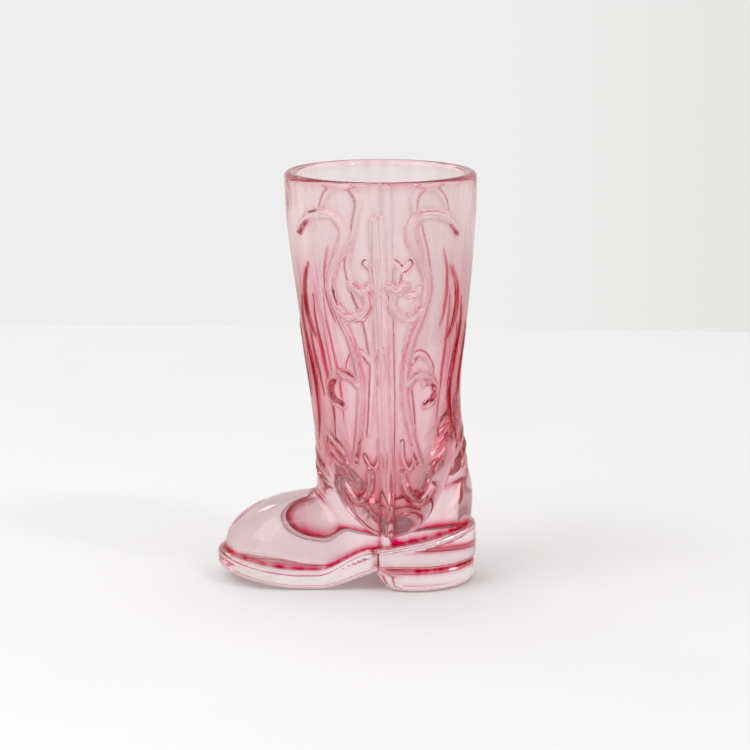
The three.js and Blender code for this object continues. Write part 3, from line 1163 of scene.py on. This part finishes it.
@dataclass(frozen=True)
class StainAndPaintedShade:
    """Where the sprayed pink lies thick or thin, in shares of the full film, with painted shade laid in as
    thicker film in creases and on the front and the back of the leg.

    A span holds where a change starts and where it is complete: heights and distances in millimetres,
    facings as a part of the direction out of the skin.
    """

    # What the spray reached: the outside of the glass, apart from its underside
    outside: Span = (0.3, 1.6)
    reached_facing: Span = (-0.9, -0.5)
    foot_top: Span = (18.0, 26.0)

    # The thin film, from the pale sole to the pinker lower leg
    sole_share: float = 0.04
    thin_share: float = 0.14
    ledge_height: Span = (0.0, 0.8)
    low_share: float = 0.1
    low_height: Span = (28.0, 74.0)
    drip_share: float = 0.15
    drip_facing: Span = (0.1, 0.45)
    rim_share: float = 0.2
    rim_height: Span = (83.5, 85.5)

    # Painted shade: thicker film in the creases of the foot, beside the scrolls and in the groove over the
    # heel, which darkens them to crimson
    crease_bend: Span = (0.25, 0.8)
    crease_share: float = 1.1
    crease_probe: float = 0.7
    halo_share: float = 0.38
    halo_probe: float = 2.2
    scroll_share: float = 0.36
    scroll_probe: float = 0.4
    groove_share: float = 0.68
    groove_x: Span = (-1.0, 4.0)
    groove_band: Span = (0.6, 1.1)

    # Painted shade: thicker film on the front and the back of the leg, on their rows and on the ankle folds,
    # which darkens them to crimson, most at the leg's outline seen from the side
    fold_share: float = 0.6
    row_share: float = 0.72
    row_edge: Span = (0.05, 0.85)
    end_share: float = 0.26
    end_facing: Span = (0.6, 1.0)
    end_height: Span = (55.0, 80.0)

    # What ran into the cup, and how often the film is evened out between neighbours
    cup_share: float = 0.35
    cup_height: Span = (15.0, 32.0)
    evening_rounds: int = 3

    def on_leg(self, z: Array) -> Array:
        """Gives 0 on the foot and 1 on the leg."""
        return smooth_step(*self.foot_top, z)

    def above_ledge(self, glass: "BootGlass", points: Array) -> Array:
        """Gives 0 on the sole and 1 above its ledge."""
        return smooth_step(*self.ledge_height, points[:, 2] - glass.sole.top(points[:, 0]))

    def thin(self, glass: "BootGlass", points: Array, normals: Array) -> Array:
        """Gives the film that the spray itself left.

        Args:
            glass: the glass.
            points: points of the skin in millimetres.
            normals: directions out of the skin.

        Returns:
            One share per point.
        """
        z = points[:, 2]
        total = self.sole_share + (self.thin_share - self.sole_share) * self.above_ledge(glass, points)
        total += self.low_share * self.on_leg(z) * (1.0 - smooth_step(*self.low_height, z))
        total += self.drip_share * smooth_step(*self.drip_facing, -normals[:, 2])
        total += self.rim_share * smooth_step(*self.rim_height, z)
        return smooth_step(*self.reached_facing, normals[:, 2]) * total

    def creased(self, glass: "BootGlass", points: Array, probe: float) -> Array:
        """Gives how deep a crease reads, for the painted shade laid in there, looking as far as the probe
        reaches.
        """
        return smooth_step(*self.crease_bend, -probe * glass.mesher.bend(glass.distance, points, probe))

    def painted_crease_shade(self, glass: "BootGlass", points: Array) -> Array:
        """Gives the painted shade in creases, laid in as thicker film.

        Args:
            glass: the glass.
            points: points of the skin in millimetres.

        Returns:
            One share per point.
        """
        x, _, z = points.T
        on_leg = self.on_leg(z)
        # Painted shade: the foot's creases, the scrolls' sides and the groove over the heel get thicker
        # film, so they come out crimson
        foot = self.crease_share * self.creased(glass, points, self.crease_probe)
        halo = self.halo_share * self.above_ledge(glass, points)
        foot += halo * self.creased(glass, points, self.halo_probe)
        leg = self.scroll_share * self.creased(glass, points, self.scroll_probe)
        band = 1.0 - smooth_step(*self.groove_band, np.abs(z - glass.sole.heel_height))
        groove = self.groove_share * smooth_step(*self.groove_x, x) * band
        return (1.0 - on_leg) * foot + on_leg * leg + groove

    def painted_end_shade(self, glass: "BootGlass", points: Array, normals: Array) -> Array:
        """Gives the painted shade on the front and the back of the leg, laid in as thicker film.

        Args:
            glass: the glass.
            points: points of the skin in millimetres.
            normals: directions out of the skin.

        Returns:
            One share per point.
        """
        x, y, z = points.T
        leg = glass.leg
        turn = leg.turn(x, y, z)
        folds = leg.folds.raised(turn, x < leg.centre(z), z) / leg.folds.rise
        rows = leg.reading(leg.rows, turn, z) / leg.stitching.row_rise
        # Painted shade: the film thickens where the skin faces the toe or the heel, darkening the leg's
        # outline seen from the side
        ends = smooth_step(*self.end_facing, np.abs(normals[:, 0]))
        ends *= 1.0 - smooth_step(*self.end_height, z)
        on_rows = self.row_share * smooth_step(*self.row_edge, rows)
        return self.fold_share * folds**2 + self.on_leg(z) * (on_rows + self.end_share * ends)

    def shares(self, glass: "BootGlass", points: Array, normals: Array, faces: Array) -> Array:
        """Gives how thick the film lies on the whole glass, painted shade in creases and on the leg's front
        and back included.

        Args:
            glass: the glass.
            points: points of the skin in millimetres.
            normals: directions out of the skin.
            faces: four point numbers per face.

        Returns:
            Share of the full film per point.
        """
        # The film map is the stain plus painted shade in creases and on the leg's front and back
        outer = self.thin(glass, points, normals) + self.painted_crease_shade(glass, points)
        outer += self.painted_end_shade(glass, points, normals)
        inner = self.cup_share * (1.0 - smooth_step(*self.cup_height, points[:, 2]))
        outside = smooth_step(*self.outside, glass.cavity.distance(*points.T))
        total = outside * outer + (1.0 - outside) * inner
        for _ in range(self.evening_rounds):
            total = glass.mesher.evened(faces, total)
        return total


@dataclass
class BootGlass:
    """The whole glass: leg, vamp, sole and heel with the space for the drink taken out."""

    finish: SprayedGlass
    stain: StainAndPaintedShade
    mesher: NetMesher
    name: str = "boot_glass"
    instep_blend: float = 3.0
    crease_blend: float = 0.6
    groove_blend: float = 0.5
    normal_probe: float = 0.05
    plan: FootPlan = field(init=False)
    sole: Sole = field(init=False)
    heel: Heel = field(init=False)
    vamp: Vamp = field(init=False)
    leg: Leg = field(init=False)
    cavity: Cavity = field(init=False)

    def __post_init__(self) -> None:
        """Makes the forms from shared sizes."""
        self.plan = FootPlan()
        self.sole = Sole(self.plan)
        self.heel = Heel(self.plan, self.sole)
        self.vamp = Vamp(self.plan, self.sole)
        self.leg = Leg(self.plan, self.sole, Stitching(), Folds())
        self.cavity = Cavity(rim_height=self.leg.height)

    def distance(self, x: Array, y: Array, z: Array) -> Array:
        """Gives the distance from the skin of the glass, negative in the glass."""
        upper = blended_union(self.leg.distance(x, y, z), self.vamp.distance(x, y, z), self.instep_blend)
        foot = blended_union(upper, self.sole.distance(x, y, z), self.crease_blend)
        outer = blended_union(foot, self.heel.distance(x, y, z), self.groove_blend)
        return rounded_overlap(outer, -self.cavity.distance(x, y, z), self.leg.lip)

    def build(self) -> bpy.types.Object:
        """Builds the mesh, dresses it and ties it to the part.

        Returns:
            The new object.
        """
        points, faces = self.mesher.net(self.distance)
        log.info("net of %d points and %d faces", len(points), len(faces))
        points = self.mesher.relaxed(self.distance, points, faces)
        slope = self.mesher.gradient(self.distance, points, self.normal_probe)
        normals = slope / np.maximum(np.linalg.norm(slope, axis=1), TINY)[:, None]
        mesh = bpy.data.meshes.new(self.name)
        placed = (points + [self.plan.axis_x, 0.0, 0.0]) * METRES_PER_MM
        mesh.from_pydata(placed.tolist(), [], faces.tolist())
        mesh.polygons.foreach_set("use_smooth", np.ones(len(mesh.polygons), dtype=bool))
        mesh.normals_split_custom_set_from_vertices(normals.tolist())
        film = mesh.attributes.new(FILM_AND_SHADE, "FLOAT", "POINT")
        film.data.foreach_set("value", self.stain.shares(self, points, normals, faces))
        mesh.materials.append(self.finish.material())
        piece = bpy.data.objects.new(self.name, mesh)
        bpy.context.collection.objects.link(piece)
        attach(piece, "root")
        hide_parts(*(node.value for node in Node))
        return piece


# Stage, light and camera, in metres


@dataclass(frozen=True)
class Stage:
    """A table top that ends in front of a pale wall."""

    finish: PaintedBoard
    name: str = "table_top"
    front: float = -1.6
    back: float = 0.3
    half_width: float = 1.2
    drop: float = 0.0002

    def build(self) -> bpy.types.Object:
        """Builds the table top just under the glass.

        Returns:
            The table top.
        """
        mesh = bpy.data.meshes.new(self.name)
        left, right = -self.half_width, self.half_width
        corners = [(left, self.front), (right, self.front), (right, self.back), (left, self.back)]
        mesh.from_pydata([(x, y, -self.drop) for x, y in corners], [], [(0, 1, 2, 3)])
        mesh.materials.append(self.finish.material())
        table = bpy.data.objects.new(self.name, mesh)
        bpy.context.collection.objects.link(table)
        return table


class Role(Enum):
    """What a lamp does."""

    KEY = "key"
    FILL = "fill"
    BACK = "back"


@dataclass(frozen=True)
class SoftBox:
    """A flat soft lamp that faces the glass."""

    role: Role
    place: tuple[float, float, float]
    size: float
    watts: float
    target: tuple[float, float, float] = (0.0, 0.0, 0.05)

    def build(self) -> bpy.types.Object:
        """Builds the lamp and turns it to its target.

        Returns:
            The lamp.
        """
        data = bpy.data.lights.new(f"{self.role.value}_soft_box", "AREA")
        data.shape = "SQUARE"
        data.size = self.size
        data.energy = self.watts
        lamp = bpy.data.objects.new(data.name, data)
        lamp.location = self.place
        lamp.rotation_euler = (Vector(self.target) - Vector(self.place)).to_track_quat("-Z", "Y").to_euler()
        bpy.context.collection.objects.link(lamp)
        return lamp


@dataclass(frozen=True)
class Room:
    """The pale room round the table: an even wall, a little dimmer to the right and high up in front.

    A span holds where a change starts and where it is complete, as a part of the direction looked in.
    """

    name: str = "pale_room"
    wall: str = "#eeeeee"
    dim_wall: str = "#e6e5e2"
    right: Span = (-0.03, 0.08)
    front: Span = (0.2, -0.3)
    high: Span = (0.15, 0.35)
    high_front_share: float = 0.87

    def build(self) -> bpy.types.World:
        """Builds the room's light.

        Returns:
            The world in use.
        """
        world = bpy.data.worlds.new(self.name)
        bpy.context.scene.world = world
        world.use_nodes = True
        tree = world.node_tree
        tree.nodes.clear()
        way = add_node(tree, "ShaderNodeTexCoord").outputs["Generated"]
        parts = add_node(tree, "ShaderNodeSeparateXYZ", inputs={"Vector": way}).outputs
        none_to_full = (0.0, 1.0)
        right = mapped(tree, parts["X"], self.right, none_to_full, smooth=True)
        front = mapped(tree, parts["Y"], self.front, none_to_full, smooth=True)
        high = mapped(tree, parts["Z"], self.high, none_to_full, smooth=True)
        colour = mixed_colour(tree, right, self.wall, self.dim_wall)
        strength = mapped(tree, product(tree, front, high), none_to_full, (1.0, self.high_front_share))
        light = add_node(tree, "ShaderNodeBackground", inputs={"Color": colour, "Strength": strength})
        add_node(tree, "ShaderNodeOutputWorld", inputs={"Surface": light.outputs["Background"]})
        return world


@dataclass(frozen=True)
class PhotoCamera:
    """A camera at the photograph's angle, given round the axis of the leg."""

    name: str = "photo_camera"
    distance: float = 0.700
    height: float = 0.1766
    aside: float = -0.0011
    turn_degrees: float = 3.3
    pitch_degrees: float = 10.81
    lens_mm: float = 163.56
    sensor_mm: float = 36.0

    def build(self, axis_x: float) -> bpy.types.Object:
        """Builds the camera.

        Args:
            axis_x: x of the leg's axis in the part's frame.

        Returns:
            The camera.
        """
        data = bpy.data.cameras.new(self.name)
        data.lens = self.lens_mm
        data.sensor_width = self.sensor_mm
        camera = bpy.data.objects.new(self.name, data)
        turn = Matrix.Rotation(math.radians(self.turn_degrees), 4, "Z")
        camera.location = turn @ Vector((self.aside, -self.distance, self.height)) + Vector((axis_x, 0, 0))
        tilt = math.radians(90.0 - self.pitch_degrees)
        camera.rotation_euler = (tilt, 0.0, math.radians(self.turn_degrees))
        bpy.context.collection.objects.link(camera)
        bpy.context.scene.camera = camera
        return camera


@dataclass(frozen=True)
class Development:
    """How the picture is developed, and how far light is followed through the glass."""

    view_transform: str = "Standard"
    through_glass: int = 64
    off_gloss: int = 32
    off_matt: int = 16

    def apply(self) -> None:
        """Sets the scene to these values."""
        scene = bpy.context.scene
        scene.view_settings.view_transform = self.view_transform
        scene.cycles.max_bounces = self.through_glass
        scene.cycles.transmission_bounces = self.through_glass
        scene.cycles.glossy_bounces = self.off_gloss
        scene.cycles.diffuse_bounces = self.off_matt
        scene.cycles.use_denoising = True


def main() -> None:
    """Builds the glass, its stage, the light and the camera."""
    logging.basicConfig(level=logging.INFO, format="%(name)s: %(message)s")
    glass = BootGlass(SprayedGlass(), StainAndPaintedShade(), NetMesher())
    piece = glass.build()
    log.info("%s stands for %s", piece.name, ", ".join(node.value for node in Node))
    table = Stage(PaintedBoard()).build()
    log.info("%s under the glass", table.name)
    room = Room().build()
    log.info("%s round the table", room.name)
    key = SoftBox(Role.KEY, place=(-0.45, -0.35, 0.6), size=0.6, watts=2.0)
    fill = SoftBox(Role.FILL, place=(0.6, -0.45, 0.8), size=0.15, watts=1.2)
    back = SoftBox(Role.BACK, place=(-0.35, 0.5, 0.5), size=0.12, watts=0.2)
    for lamp in (key, fill, back):
        log.info("%s lit", lamp.build().name)
    camera = PhotoCamera().build(glass.plan.axis_x * METRES_PER_MM)
    log.info("%s placed", camera.name)
    Development().apply()
    bpy.context.view_layer.update()


if __name__ == "__main__":
    main()
